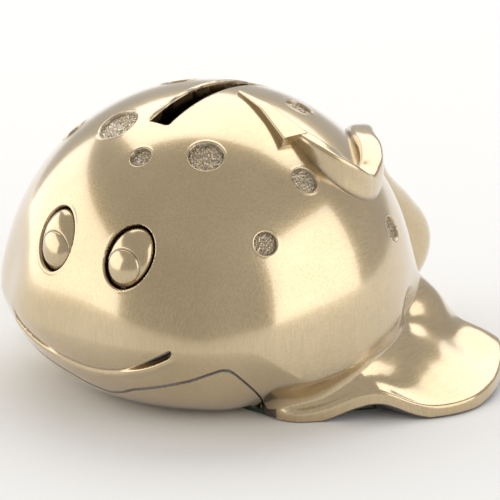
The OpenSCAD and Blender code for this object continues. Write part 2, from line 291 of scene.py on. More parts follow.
def shell_at(uv):
    """The upper casting as one closed surface: u is azimuth and v runs from the top of the ball,
    0 to 1 down the ball, 1 to 2 down the flare, 2 to 3 round the edge, 3 to 5 back up inside."""
    a, s = uv[:, 0], uv[:, 1]
    p = control(a)
    p_in = control(shifted(a))
    t_out = reach_height(bezier, p, seam_h(a) - BALL_H)
    t_floor = reach_height(inset, p_in, np.full(len(a), PLATE_TOP + PLATE_GAP - BALL_H))
    t_in = np.minimum(np.where(side(a) < 66, t_out, 1), t_floor)
    out = np.zeros((len(a), 2))
    for lo in range(5):
        m = (s >= lo) & (s <= lo + 1)
        if not m.any():
            continue
        f = s[m] - lo
        if lo in (0, 4):
            f = f if lo == 0 else 1 - f
            r = BALL_R if lo == 0 else BALL_R - WALL
            crease = (p if lo == 0 else p_in)[m][:, 0, 1]
            e = math.pi / 2 - (math.pi / 2 - np.arcsin(crease / BALL_R)) * f
            out[m] = r * np.stack([np.cos(e), np.sin(e)], 1)
        elif lo == 1:
            out[m] = bezier(p[m], t_out[m] * f)
        elif lo == 2:
            out[m] = along(lip(a[m], p[m], t_out[m], t_in[m], p_in[m]), f)
        else:
            out[m] = inset(p_in[m], t_in[m] * (1 - f))
    return swell(spin(a, out))


def belly_at(uv):
    """The lower casting as one closed surface: from the middle of the plate's top out to the wall,
    up the wall, over the seam edge, down outside and back to the middle underneath."""
    a, s = uv[:, 0], uv[:, 1]
    share = smooth((side(a) - 60) / 4)[:, None]
    p = control(a)
    z_seam = np.maximum(seam_h(a), PLATE_TOP) - SEAM_GAP - BALL_H
    t_seam = reach_height(bezier, p, z_seam)
    t_floor = reach_height(inset, p, np.full(len(a), PLATE_TOP - BALL_H))
    t_low = np.maximum(t_floor, t_seam)
    rim = plate_rho(a)
    fin_top = np.stack([rim, np.full(len(a), PLATE_TOP - BALL_H)], 1)
    fin_low = np.stack([rim, np.full(len(a), PLATE_BOTTOM - BALL_H)], 1)
    tangent, n = slope(p, t_seam), inward(p, t_seam)
    outer, inner = bezier(p, t_seam), inset(p, t_seam)
    out = np.zeros((len(a), 2))
    for lo in range(5):
        m = (s >= lo) & (s <= lo + 1)
        if not m.any():
            continue
        f = s[m] - lo
        g = f[:, None]
        top = inset(p[m], t_low[m]) * (1 - share[m]) + fin_top[m] * share[m]
        if lo == 0:
            out[m] = np.stack([top[:, 0] * f, top[:, 1]], 1)
        elif lo == 1:
            wall = inset(p[m], t_low[m] + (t_seam[m] - t_low[m]) * f)
            out[m] = wall * (1 - share[m]) + fin_top[m] * share[m]
        elif lo == 2:
            start = outer[m] + SEAM_R * n[m]
            head = [inner[m]]
            head += [start + SEAM_R * ((1 - math.cos(w)) * tangent[m] - math.sin(w) * n[m])
                     for w in np.radians(ARC)]
            fin = [fin_top[m] - [PLATE_GAP, 0]]
            fin += [fin_top[m] + [PLATE_GAP * (math.sin(w) - 1), PLATE_GAP * (math.cos(w) - 1)]
                    for w in np.radians(ARC)]
            out[m] = along(head, f) * (1 - share[m]) + along(fin, f) * share[m]
        elif lo == 3:
            t0 = t_seam[m] + 0.02 * (1 - t_seam[m])
            head = bezier(p[m], t0 + (1 - t0) * f)
            start = outer[m] + SEAM_R * tangent[m]
            blend = smooth(f * 12)[:, None]
            head = start * (1 - blend) + head * blend
            fin = (fin_top[m] - [0, PLATE_GAP]) * (1 - g) + fin_low[m] * g
            out[m] = head * (1 - share[m]) + fin * share[m]
        else:
            head = bezier(p[m], np.ones(m.sum()))
            edge = head * (1 - share[m]) + fin_low[m] * share[m]
            flat = smooth(f * 8)
            height = edge[:, 1] * (1 - flat) + (PLATE_BOTTOM - BALL_H) * flat
            out[m] = np.stack([edge[:, 0] * (1 - f), height], 1)
    return swell(spin(a, out))


# ---------------------------------------------------------------- relief of the face and spots

def mouth_height(a):
    return MOUTH_LOW + MOUTH_RISE * (np.abs(a) / MOUTH_HALF) ** 2


def eye_frame(az, el):
    """Centre on the ball, the long axis (leaning outwards at its top) and the short axis."""
    n = direction(az, el)
    east = np.array([-math.sin(math.radians(az)), math.cos(math.radians(az)), 0])
    up = np.cross(n, east)
    w = math.radians(EYE_TILT) * (1 if az > 0 else -1)
    long = math.cos(w) * up + math.sin(w) * east
    return n, long, np.cross(n, long)


def oval_gap(x, y, half):
    """About the distance outside the oval, negative inside."""
    q = np.sqrt((x / half[0]) ** 2 + (y / half[1]) ** 2) + 1e-9
    steep = np.sqrt((x / half[0] ** 2) ** 2 + (y / half[1] ** 2) ** 2) / q
    return (q - 1) / np.maximum(steep, 1e-3)


def stipple(xyz):
    """Uneven punched texture, from -1 to 1: crossed waves whose grid is bent by slower ones."""
    q = xyz * 6.5
    bent = q + 1.7 * np.sin(0.37 * q[:, [1, 2, 0]] + 1.0) + 1.1 * np.sin(0.71 * q[:, [2, 0, 1]])
    return np.sin(bent[:, 0]) * np.sin(bent[:, 1]) + np.sin(bent[:, 1] + 2) * np.sin(bent[:, 2])


def bell(x, width):
    return np.exp(-((x / width) ** 2))


def mouth_relief(a, z):
    """Height, darkening and nearness of the smile: a line that widens towards its round ends, a soft
    fold of the upper lip over it and the ridge of the lower lip. The darkening is patina and painted
    shade."""
    deep = 1.9
    soft = 0.4
    aa = np.abs(a)
    per_degree = BALL_R * math.pi / 180
    rise = 2 * MOUTH_RISE * aa / MOUTH_HALF ** 2 / (0.93 * per_degree)
    across = (z - mouth_height(np.minimum(aa, MOUTH_HALF))) * 1.15 / np.sqrt(1 + rise ** 2)
    beyond = np.maximum(aa - MOUTH_HALF, 0) * per_degree
    outer_part = smooth((aa - 11) / 14)
    ends = bell(beyond, 0.7)
    wide = 0.2 + 0.55 * outer_part
    past = np.maximum((aa - MOUTH_HALF) * per_degree + wide, 0)
    d = np.sqrt(across ** 2 + past ** 2) - wide
    line = (1 - smooth((d + 0.15) / soft)) * outer_part
    crease = np.where(across > 0, np.exp(-np.maximum(across, 0) / 1.5), bell(across, soft))
    fold = 0.4 * crease * (1 - 0.6 * outer_part) * ends
    ridge = 0.28 * bell(across + 1.2 + 0.6 * outer_part, 0.7) * ends
    # Patina and painted shade along the smile's groove, darkest in its deep outer part
    patina_and_shade = np.maximum(1.1 * line, 0.45 * bell(across, 0.45) * ends)
    near = np.where(beyond < 2.5, np.maximum(np.abs(across) - 1.2, 0), FAR)
    return ridge - fold - deep * line, patina_and_shade, near


def relief(a, xyz):
    """Height of the relief along the normal, how dark the patina and painted shade are, how near an edge
    is, and where the metal is punched all over."""
    rim_high = 0.05
    v = xyz - [0, 0, BALL_H]
    n = unit(v)
    a = np.where(a > 180, a - 360, a)
    high = np.zeros(len(v))
    patina_and_shade = np.zeros(len(v))
    near = np.full(len(v), FAR)
    punched = np.zeros(len(v))

    for az, el, wide in SPOTS:
        gap = BALL_R * np.arccos(np.clip(n @ direction(az, el), -1, 1)) - wide / 2
        floor = 1 - smooth((gap + 0.25) / 0.3)
        high += -SPOT_DEPTH * floor + rim_high * bell(gap - 0.3, 0.25)
        high += 0.1 * floor * stipple(xyz)
        punched = np.maximum(punched, floor)
        # Patina and painted shade in the hollow just inside each spot's rim
        patina_and_shade = np.maximum(patina_and_shade, 0.8 * bell(gap + 0.25, 0.25))
        near = np.minimum(near, np.where(gap < 0, 0.0, gap))

    for az, el in EYES:
        c, long, short = eye_frame(az, el)
        x, y = BALL_R * (n @ long), BALL_R * (n @ short)
        gap = np.where(n @ c > 0.5, oval_gap(x, y, EYE_HALF + EYE_GROOVE), FAR)
        floor = 1 - smooth((gap + 0.4) / 0.4)
        high += -EYE_POCKET * floor + rim_high * bell(gap - 0.4, 0.3)
        # Patina and painted shade in the groove round the eye insert
        patina_and_shade = np.maximum(patina_and_shade, 1 - smooth((gap + 0.25) / 0.3))
        near = np.minimum(near, np.where(gap < -1.4, 3, np.abs(gap)))

    on_face = (np.abs(a) < 60) & (v[:, 2] < 8)
    mouth, mouth_patina_and_shade, mouth_near = mouth_relief(a, v[:, 2])
    high += np.where(on_face, mouth, 0)
    patina_and_shade = np.maximum(patina_and_shade, np.where(on_face, mouth_patina_and_shade, 0))
    near = np.minimum(near, np.where(on_face, mouth_near, FAR))
    return high, np.clip(patina_and_shade, 0, 1), near, punched


# ---------------------------------------------------------------- meshes

def split(tri, mid):
    """Triangles cut at the mid points of those edges (01, 12, 20) that have one."""
    count = (mid >= 0).sum(1)
    out = [tri[count == 0]]
    t, m = tri[count == 3], mid[count == 3]
    out += [np.stack(c, 1) for c in ((t[:, 0], m[:, 0], m[:, 2]), (m[:, 0], t[:, 1], m[:, 1]),
                                     (m[:, 2], m[:, 1], t[:, 2]), (m[:, 0], m[:, 1], m[:, 2]))]
    for k in range(3):
        one = (count == 1) & (mid[:, k] >= 0)
        a, b, c = [tri[one][:, (k + i) % 3] for i in range(3)]
        m = mid[one][:, k]
        out += [np.stack([a, m, c], 1), np.stack([m, b, c], 1)]
        two = (count == 2) & (mid[:, (k + 2) % 3] < 0)
        a, b, c = [tri[two][:, (k + i) % 3] for i in range(3)]
        m, n = mid[two][:, k], mid[two][:, (k + 1) % 3]
        out += [np.stack([m, b, n], 1), np.stack([a, m, n], 1), np.stack([a, n, c], 1)]
    return np.concatenate(out)


def grid(columns, rows):
    """A triangulated sheet over azimuth -180 to 180 and the row values given."""
    a = np.linspace(-180, 180, columns + 1)
    uv = np.array([[x, y] for y in rows for x in a])
    w = columns + 1
    i = np.array([[r * w + c for c in range(columns)] for r in range(len(rows) - 1)]).ravel()
    tri = np.concatenate([np.stack([i, i + w, i + w + 1], 1), np.stack([i, i + w + 1, i + 1], 1)])
    return uv, tri


def refine(uv, tri, place, target, passes):
    """Cuts every edge longer than target allows there, again and again."""
    for _ in range(passes):
        xyz = place(uv)
        pairs = np.sort(tri[:, [[0, 1], [1, 2], [2, 0]]].reshape(-1, 2), axis=1)
        keys, back = np.unique(pairs[:, 0].astype(np.int64) * len(uv) + pairs[:, 1], return_inverse=True)
        edges = np.stack([keys // len(uv), keys % len(uv)], 1)
        middle = uv[edges].mean(1)
        length = np.linalg.norm(xyz[edges[:, 0]] - xyz[edges[:, 1]], axis=1)
        cut = length > target(middle, xyz[edges].mean(1))
        if not cut.any():
            break
        new = np.full(len(edges), -1)
        new[cut] = len(uv) + np.arange(cut.sum())
        uv = np.vstack([uv, middle[cut]])
        tri = split(tri, new[back].reshape(-1, 3))
    return uv, tri


def normals(place, uv):
    """Outward normals of a (u, v) surface, by small steps."""
    du = np.array([0.05, 0])
    dv = 0.002
    a = place(uv + du) - place(uv - du)
    ahead = np.stack([uv[:, 0], np.minimum(uv[:, 1] + dv, 5)], 1)
    behind = np.stack([uv[:, 0], np.maximum(uv[:, 1] - dv, 0)], 1)
    return unit(np.cross(place(ahead) - place(behind), a))


def new_object(name, xyz, faces):
    """A smooth-shaded object from points in millimetres."""
    me = bpy.data.meshes.new(name)
    me.from_pydata((np.asarray(xyz) * MM).tolist(), [], [list(f) for f in faces])
    me.validate()
    me.update()
    me.shade_smooth()
    ob = bpy.data.objects.new(name, me)
    bpy.context.scene.collection.objects.link(ob)
    return ob


def welded(xyz, faces):
    """Faces without the doubled points of a sheet's edges, and which points are left."""
    key = np.round(xyz / 2e-4).astype(np.int64)
    _, first, back = np.unique(key, axis=0, return_index=True, return_inverse=True)
    faces = back.reshape(-1)[faces]
    flat = (faces == np.roll(faces, 1, 1)).any(1)
    return faces[~flat], first


def make_mesh(name, xyz, faces, patina_and_shade, punched=None, weld=True):
    """An object with the values that its material reads at each point."""
    punched = np.zeros(len(xyz)) if punched is None else punched
    if weld:
        faces, first = welded(xyz, faces)
        xyz, patina_and_shade, punched = xyz[first], patina_and_shade[first], punched[first]
    ob = new_object(name, xyz, faces.tolist())
    for kind, values in (("patina_and_shade", patina_and_shade), ("punched", punched)):
        layer = ob.data.attributes.new(kind, "FLOAT", "POINT")
        layer.data.foreach_set("value", values.astype(np.float32))
    return ob


def sharpen(ob, angle):
    ob.data.shade_smooth()
    ob.data.set_sharp_from_angle(angle=math.radians(angle))


def cut_with(ob, cutters):
    """Takes the cutters out of ob for good."""
    for c in cutters:
        m = ob.modifiers.new("cut", "BOOLEAN")
        m.operation = "DIFFERENCE"
        m.solver = "EXACT"
        m.object = c
        dg = bpy.context.evaluated_depsgraph_get()
        me = bpy.data.meshes.new_from_object(ob.evaluated_get(dg))
        ob.modifiers.clear()
        old = ob.data
        ob.data = me
        me.name = ob.name
        bpy.data.meshes.remove(old)
    for c in cutters:
        bpy.data.objects.remove(c, do_unlink=True)


def lathe(name, outline, at, sides=128):
    """A solid of revolution about an upright axis through at, from (radius, height) points that
    start and end on the axis."""
    w = np.radians(np.arange(sides) * 360 / sides)
    xyz, faces, rows = [], [], []
    for r, z in outline:
        around = w if r > 0 else w[:1]
        rows.append(list(range(len(xyz), len(xyz) + len(around))))
        xyz += [[at[0] + r * math.cos(t), at[1] + r * math.sin(t), z] for t in around]
    for lower, upper in zip(rows, rows[1:]):
        for i in range(sides):
            j = (i + 1) % sides
            if len(lower) == 1 and len(upper) > 1:
                faces.append([lower[0], upper[j], upper[i]])
            elif len(upper) == 1 and len(lower) > 1:
                faces.append([lower[i], lower[j], upper[0]])
            elif len(lower) > 1:
                faces.append([lower[i], lower[j], upper[j], upper[i]])
    return new_object(name, xyz, faces)


def body_target(uv, xyz):
    """The longest edge allowed on the upper casting, in millimetres."""
    a, s = uv[:, 0], uv[:, 1]
    near = relief(a, xyz)[2]
    fine = 0.22 + 0.78 * smooth((near - 0.5) / 2.5)
    fine = np.where(s > 0.98, np.minimum(fine, 0.75), fine)
    fine = np.where(s > 1.9, np.minimum(fine, 0.6), fine)
    return np.where(s > 2.75, 5.0, fine)


def slot_cutter():
    """A box with square ends whose mouth opens out in a small round-over at the surface."""
    corner = 0.5
    longest = 1.4
    round_r = 0.75
    clear = 1.35 * round_r
    above, below = 4, 12
    loop = []
    for cx, cy, start in ((1, 1, 0), (-1, 1, 90), (-1, -1, 180), (1, -1, 270)):
        for w in np.radians(start + np.linspace(0, 90, 5)):
            loop.append([cx * (SLOT_HALF[0] - corner) + corner * math.cos(w),
                         cy * (SLOT_HALF[1] - corner) + corner * math.sin(w)])
    dense = []
    for p, q in zip(loop, loop[1:] + loop[:1]):
        n = max(1, int(np.hypot(q[0] - p[0], q[1] - p[1]) / longest))
        dense += [[p[0] + (q[0] - p[0]) * i / n, p[1] + (q[1] - p[1]) * i / n] for i in range(n)]
    loop = np.array(dense)
    ahead = np.roll(loop, -1, 0) - np.roll(loop, 1, 0)
    out = np.stack([ahead[:, 1], -ahead[:, 0]], 1)
    out /= np.linalg.norm(out, axis=1, keepdims=True)
    rows = []
    for w in np.radians(np.linspace(8, 90, 7)):
        xy = loop + out * round_r * (1 - math.sin(w))
        top = BALL_H + np.sqrt(BALL_R ** 2 - (xy ** 2).sum(1))
        rows.append(np.column_stack([xy, top - round_r * (1 - math.cos(w))]))
    wide = loop + out * clear
    mouth = np.column_stack([wide, rows[0][:, 2] + 0.25])
    lid = np.column_stack([wide, np.full(len(loop), BALL_H + BALL_R + above)])
    bottom = np.column_stack([loop, np.full(len(loop), BALL_H + BALL_R - below)])
    rows = [lid, mouth] + rows + [bottom]
    n = len(loop)
    faces = [[r * n + i, (r + 1) * n + i, (r + 1) * n + (i + 1) % n, r * n + (i + 1) % n]
             for r in range(len(rows) - 1) for i in range(n)]
    faces.append(list(range(n)))
    faces.append([(len(rows) - 1) * n + i for i in range(n)][::-1])
    return new_object("slot_cutter", np.concatenate(rows), faces)


def levels(counts):
    """Row values, with counts[k] steps from k to k + 1."""
    return np.append(np.concatenate([k + np.arange(n) / n for k, n in enumerate(counts)]), len(counts))


def body_patina_and_shade(uv, patina_and_shade):
    """The relief's patina and painted shade on the outside, with painted shade added in the seam,
    along the crease and over the inside.
    """
    a, s = side(uv[:, 0]), uv[:, 1]
    outside = s <= 2
    on_head = a < 66
    # Painted shade over the inside of the casting, deepening from the edge inwards
    patina_and_shade = np.where(outside, patina_and_shade, np.where(s < 2.45, 0.15 * (s - 2), 1.0))
    # Painted shade along the seam's edge and in the seam, on the head
    patina_and_shade = np.maximum(patina_and_shade, np.where(outside & on_head, 0.8 * smooth((s - 1.975) / 0.025), 0))
    patina_and_shade = np.where((s > 2) & (s < 3) & on_head, 1.0, patina_and_shade)
    # Painted shade: a dark line along the crease where the flare leaves the ball, on the fins
    crease = np.where(outside & (a > 66), 0.5 * bell(s - 1.02, 0.05), 0)
    return np.maximum(patina_and_shade, crease)


def make_body():
    passes = 6
    uv, tri = grid(60, levels([14, 8, 12, 8, 12]))
    uv, tri = refine(uv, tri, shell_at, body_target, passes)
    xyz = shell_at(uv)
    on_ball = (uv[:, 1] < 0.999)[:, None]
    n = np.where(on_ball, unit(xyz - [0, 0, BALL_H]), normals(shell_at, uv))
    high, patina_and_shade, _, punched = relief(uv[:, 0], xyz)
    outside = uv[:, 1] <= 2
    fade = smooth((2 - uv[:, 1]) / 0.06)
    xyz = xyz + n * (high * fade * outside)[:, None]
    xyz[:, 2] = np.maximum(xyz[:, 2], LIP_LOW)
    ob = make_mesh("upper_casting", xyz, tri, body_patina_and_shade(uv, patina_and_shade), punched * outside)
    cut_with(ob, [slot_cutter()])
    sharpen(ob, 55)
    return ob


def belly_target(uv, xyz):
    """The longest edge allowed on the lower casting, in millimetres."""
    return np.where(uv[:, 1] < 2, 4.0, np.where(uv[:, 1] < 4, 0.8, 2.5))


def make_belly():
    uv, tri = grid(90, levels([6, 5, 5, 13, 8]))
    uv, tri = refine(uv, tri, belly_at, belly_target, 5)
    s = uv[:, 1]
    # Painted shade in the seam between the castings: the wall's top and the seam edge, fading just below
    # it outside
    patina_and_shade = np.where((s > 1.9) & (s < 3.0), 1.0, 0.0)
    patina_and_shade = np.maximum(patina_and_shade, np.where(s >= 3, 0.8 * (1 - smooth((s - 3) / 0.03)), 0))
    # Painted shade over the underside
    patina_and_shade = np.maximum(patina_and_shade, np.where(s > 4, 0.5, 0))
    # Painted shade on the plate's rim beneath the fins
    patina_and_shade = np.maximum(patina_and_shade, np.where(side(uv[:, 0]) > 66, 0.9, 0))
    ob = make_mesh("lower_casting", belly_at(uv), tri[:, ::-1], patina_and_shade)
    below, above = -3, 20
    flange_r, flange_top = FLANGE_R + 0.4, PLATE_BOTTOM + FLANGE_T
    head_r, head_top, hole_r = 3.1, PLATE_BOTTOM + 1.6, 1.7
    cutters = [lathe("hole", [[0, below], [STOPPER_R, below], [STOPPER_R, above], [0, above]],
                     STOPPER_AT),
               lathe("hole", [[0, below], [flange_r, below], [flange_r, flange_top],
                              [0, flange_top]], STOPPER_AT)]
    for at in SCREWS_AT:
        cutters.append(lathe("hole", [[0, below], [head_r, below], [head_r, head_top],
                                      [hole_r, head_top], [hole_r, above], [0, above]], at, 48))
    cut_with(ob, cutters)
    sharpen(ob, 40)
    return ob


def make_eye(name, az, el):
    """The domed oval insert, with the round iris raised in its lower, inner part."""
    rings, rim_rings, sides = 52, 12, 200
    iris_r = 3.9
    side_h = 0.5
    base = side_h - EYE_POCKET
    n, long, short = eye_frame(az, el)
    toward_nose = -1 if az > 0 else 1
    look = unit((direction(az + toward_nose * 1.3, el - 3.4) - n)[None])[0]
    iris_c = BALL_R * math.radians(3.6) * np.array([look @ long, look @ short])
    q = np.concatenate([np.linspace(0, 0.9, rings, endpoint=False), np.linspace(0.9, 1, rim_rings)])
    w = np.radians(np.arange(sides) * 360 / sides)
    xyz, patina_and_shade, faces = [], [], []
    for r in q:
        x, y = EYE_HALF[0] * r * np.cos(w), EYE_HALF[1] * r * np.sin(w)
        dome = (EYE_RISE - base) * np.sqrt(1 - (r * 0.985) ** 2) ** 0.9
        d = np.hypot(x - iris_c[0], y - iris_c[1]) - iris_r
        keep = 1 - smooth((r - 0.86) / 0.1)
        ball = np.sqrt(1 - (np.minimum(d + iris_r, iris_r) / (iris_r * 1.25)) ** 2)
        iris = (1 - smooth((d + 0.15) / 0.3)) * (0.1 + 0.75 * (ball - 0.6))
        h = base + dome + keep * (iris - 0.22 * bell(d - 0.12, 0.2))
        h = h - (x ** 2 + y ** 2) / (2 * BALL_R)
        xyz.append(BALL_R * n + np.outer(x, long) + np.outer(y, short) + np.outer(h, n)
                   + [0, 0, BALL_H])
        # Dark ring round the iris, patina and painted shade in its groove; painted shade over the rim
        # and the side that sit in the pocket
        patina_and_shade.append(0.85 * keep * bell(d - 0.12, 0.16) + 0.9 * smooth((r - 0.95) / 0.05))
    xyz.append(xyz[-1] - side_h * n)
    patina_and_shade.append(np.ones(sides))
    rows = len(xyz)
    middle = (BALL_R - EYE_POCKET) * n + [0, 0, BALL_H]
    xyz = np.vstack(xyz + [middle])
    patina_and_shade = np.clip(np.append(np.concatenate(patina_and_shade), 1), 0, 1)
    i = np.arange(sides)
    j = (i + 1) % sides
    for r in range(rows - 1):
        a, b = r * sides, (r + 1) * sides
        faces += [np.stack([a + i, b + i, b + j], 1), np.stack([a + i, b + j, a + j], 1)]
    last = (rows - 1) * sides
    faces.append(np.stack([last + i, np.full(sides, rows * sides), last + j], 1))
    ob = make_mesh(name, xyz, np.concatenate(faces), patina_and_shade)
    sharpen(ob, 60)
    return ob


# Middle lines from the ball's centre, each row with half the width and half the height of the
# section. The arrowhead runs from its tip to its barb, and the stem from inside it to the root.
ARROW = [[-2.2, 6.5, 44, 0.3, 0.9], [-0.9, 14.6, 42.2, 1.5, 1.5], [1.4, 24.9, 38.1, 3.3, 1.6]]
STEM = [[-0.6, 21.2, 38, 1.6, 2.6], [-1, 25.1, 36.7, 1.7, 2.8], [-1.4, 28.7, 35.2, 1.8, 2.9],
        [-2.9, 31.8, 32.9, 2, 3], [-5.4, 33.6, 30.3, 2.2, 3.2], [-8.5, 34.1, 27.6, 2.4, 3.3],
        [-11.6, 33.6, 26.2, 2.5, 3.2], [-14.8, 32.4, 26.8, 2.6, 3.2], [-17.8, 30.8, 28.4, 2.6, 3.1],
        [-21.6, 27.2, 29.9, 2.7, 3.1], [-25, 22.8, 30.4, 2.8, 3.1], [-29.2, 18.6, 29.7, 3.1, 3.2],
        [-34.4, 13.6, 26.6, 3.7, 3.2], [-39.4, 9.6, 21.4, 4.6, 3.8], [-44.5, 6.1, 15.4, 5.8, 4.5],
        [-50.4, 3.8, 9.2, 6.8, 5.6], [-56.6, 2.6, 2.2, 7.4, 6.8], [-60.6, 2.2, -5, 8.1, 8.1],
        [-56, 1.2, -9.6, 8.2, 8.2], [-46, 0.5, -9.6, 7.6, 7.8], [-40, 0, -8, 7.2, 7.4]]


def catmull(points, per):
    """A smooth curve through the points, with per steps from each to the next."""
    p = np.array(points, float)
    p = np.vstack([2 * p[0] - p[1], p, 2 * p[-1] - p[-2]])
    out = []
    for i in range(1, len(p) - 2):
        for t in np.arange(per) / per:
            a, b, c, d = p[i - 1:i + 3]
            out.append(0.5 * (2 * b + (c - a) * t + (2 * a - 5 * b + 4 * c - d) * t * t
                              + (3 * b - a - 3 * c + d) * t ** 3))
    out.append(p[-2])
    return np.array(out)


def bar(path, power):
    """A closed bar along the path. Its sides stand upright where it lies on top of the ball, and
    square to the ball lower down. power, one for each row, squares the section off."""
    sides = 72
    centre = path[:, :3]
    tangent = unit(np.gradient(centre, axis=0))
    upright = smooth((centre[:, 2:] - 8) / 16)
    up = unit(unit(centre) * (1 - upright) + np.array([0, 0, 1.0]) * upright)
    up = unit(up - (up * tangent).sum(1, keepdims=True) * tangent)
    across = np.cross(tangent, up)
    w = np.radians((np.arange(sides) + 0.5) * 360 / sides)

    def bulge(c):
        return np.sign(c) * np.abs(c) ** (2 / power[:, None])

    ring = (centre[:, None] + (path[:, 3:4] * bulge(np.cos(w)))[..., None] * across[:, None]
            + (path[:, 4:5] * bulge(np.sin(w)))[..., None] * up[:, None])
    m = len(path)
    xyz = np.concatenate([ring.reshape(-1, 3), centre[:1], centre[-1:]]) + [0, 0, BALL_H]
    i = np.arange(sides)
    j = (i + 1) % sides
    faces = []
    for a in range(0, (m - 1) * sides, sides):
        b = a + sides
        faces += [np.stack([a + i, b + i, b + j], 1), np.stack([a + i, b + j, a + j], 1)]
    faces.append(np.stack([np.full(sides, m * sides), i, j], 1))
    faces.append(np.stack([np.full(sides, m * sides + 1), a + sides + j, a + sides + i], 1))
    return xyz, np.concatenate(faces)


def make_tail():
    stem = catmull(STEM, 10)
    far = np.linspace(0, 1, len(stem))
    stem_xyz, stem_tri = bar(stem, np.interp(far, [0, 0.4, 0.48, 0.8, 1], [6, 5, 3.5, 2.8, 2.3]))
    head = np.array(ARROW)
    where = np.linspace(0, 1, 20)
    rows = np.stack([np.interp(where, np.linspace(0, 1, len(head)), head[:, k]) for k in range(5)], 1)
    head_xyz, head_tri = bar(rows, np.full(len(rows), 9.0))
    xyz = np.vstack([stem_xyz, head_xyz])
    tri = np.vstack([stem_tri, head_tri + len(stem_xyz)])
    lift = np.linalg.norm(xyz - [0, 0, BALL_H], axis=1) - BALL_R
    # Painted contact shadow: darker where the tail lies close to the ball
    patina_and_shade = 0.75 * (1 - smooth((lift - 0.1) / 0.9))
    ob = make_mesh("tail_casting", xyz, tri, patina_and_shade, weld=False)
    sharpen(ob, 38)
    return ob


def make_stopper():
    """The plug: a grooved flange underneath and a hollow barrel with a rounded top."""
    b = PLATE_BOTTOM + 0.3
    f = PLATE_BOTTOM + FLANGE_T - 0.1
    r = STOPPER_R - 0.25
    outline = [[0, b + 0.5], [3.2, b + 0.5], [3.5, b + 0.1], [3.9, b], [6.2, b], [6.5, b + 0.3],
               [7.1, b + 0.3], [7.4, b], [9.9, b], [10.2, b + 0.3], [10.8, b + 0.3], [11.1, b],
               [FLANGE_R - 0.7, b], [FLANGE_R - 0.25, b + 0.1], [FLANGE_R, b + 0.45],
               [FLANGE_R, f - 0.3], [FLANGE_R - 0.2, f],
               [r + 0.2, f], [r, f + 0.2], [r, 7.6], [r - 0.3, 8.4], [r - 1, 8.9], [r - 1.9, 9],
               [r - 2.6, 8.8], [r - 3, 8.2], [r - 3, b + 3.2], [r - 3.6, b + 2.7], [0, b + 2.7]]
    ob = lathe("stopper_plug", outline, STOPPER_AT)
    sharpen(ob, 40)
    return ob


# ---------------------------------------------------------------- materials

def new_material(name):
    mat = bpy.data.materials.new(name)
    mat.use_nodes = True
    nodes, links = mat.node_tree.nodes, mat.node_tree.links
    nodes.clear()
    out = nodes.new("ShaderNodeOutputMaterial")
    bsdf = nodes.new("ShaderNodeBsdfPrincipled")
    links.new(bsdf.outputs[0], out.inputs[0])
    return mat, nodes, links, bsdf


def feed(links, socket, value):
    """Sets a socket to a number or a colour, or links an output to it."""
    if isinstance(value, (int, float)):
        socket.default_value = value
    elif isinstance(value, tuple):
        socket.default_value = (*value, 1)
    else:
        links.new(value, socket)


def noise(nodes, links, scale, detail=3.0, rough=0.5, stretch=(1, 1, 1), turn=(0, 0, 0)):
    """Noise in the object's own metres, stretched along turned axes."""
    co = nodes.new("ShaderNodeTexCoord")
    mapping = nodes.new("ShaderNodeMapping")
    mapping.inputs["Scale"].default_value = stretch
    mapping.inputs["Rotation"].default_value = turn
    links.new(co.outputs["Object"], mapping.inputs["Vector"])
    n = nodes.new("ShaderNodeTexNoise")
    n.inputs["Scale"].default_value = scale
    n.inputs["Detail"].default_value = detail
    n.inputs["Roughness"].default_value = rough
    links.new(mapping.outputs[0], n.inputs["Vector"])
    return n.outputs["Fac"]


def ramp(nodes, links, fac, start, end):
    """A colour from a value, between two stops of (position, colour)."""
    r = nodes.new("ShaderNodeValToRGB")
    for element, (position, color) in zip(r.color_ramp.elements, (start, end)):
        element.position = position
        element.color = (*color, 1)
    links.new(fac, r.inputs[0])
    return r.outputs[0]


def math_node(nodes, links, op, a, b, clamp=False):
    n = nodes.new("ShaderNodeMath")
    n.operation = op
    n.use_clamp = clamp
    feed(links, n.inputs[0], a)
    feed(links, n.inputs[1], b)
    return n.outputs[0]


def scaled(nodes, links, value, factor, offset=0.0):
    """value * factor + offset"""
    product = math_node(nodes, links, "MULTIPLY", value, factor)
    return math_node(nodes, links, "ADD", product, offset)


def mix_color(nodes, links, fac, a, b, blend="MIX"):
    n = nodes.new("ShaderNodeMix")
    n.data_type = "RGBA"
    n.blend_type = blend
    for k, value in ((0, fac), (6, a), (7, b)):
        feed(links, n.inputs[k], value)
    return n.outputs[2]


def attribute(nodes, name):
    attr = nodes.new("ShaderNodeAttribute")
    attr.attribute_name = name
    return attr.outputs["Fac"]


def bumped(nodes, links, height, strength, depth, normal=None, invert=False):
    """A bump of the given depth in metres, on top of another normal if one is given."""
    bump = nodes.new("ShaderNodeBump")
    bump.invert = invert
    bump.inputs["Strength"].default_value = strength
    bump.inputs["Distance"].default_value = depth
    links.new(height, bump.inputs["Height"])
    if normal is not None:
        links.new(normal, bump.inputs["Normal"])
    return bump.outputs[0]


WHITE = (1, 1, 1)
BLACK = (0, 0, 0)
BRASS_LIGHT = (0.65, 0.50, 0.28)
BRASS_DEEP = (0.55, 0.41, 0.205)
BRASS_STROKE = (0.80, 0.78, 0.73)
# Dark colour of the patina in hollows and of the painted shade in seams, creases, the inside and under
# the fins
PATINA_AND_SHADE = (0.05, 0.028, 0.012)


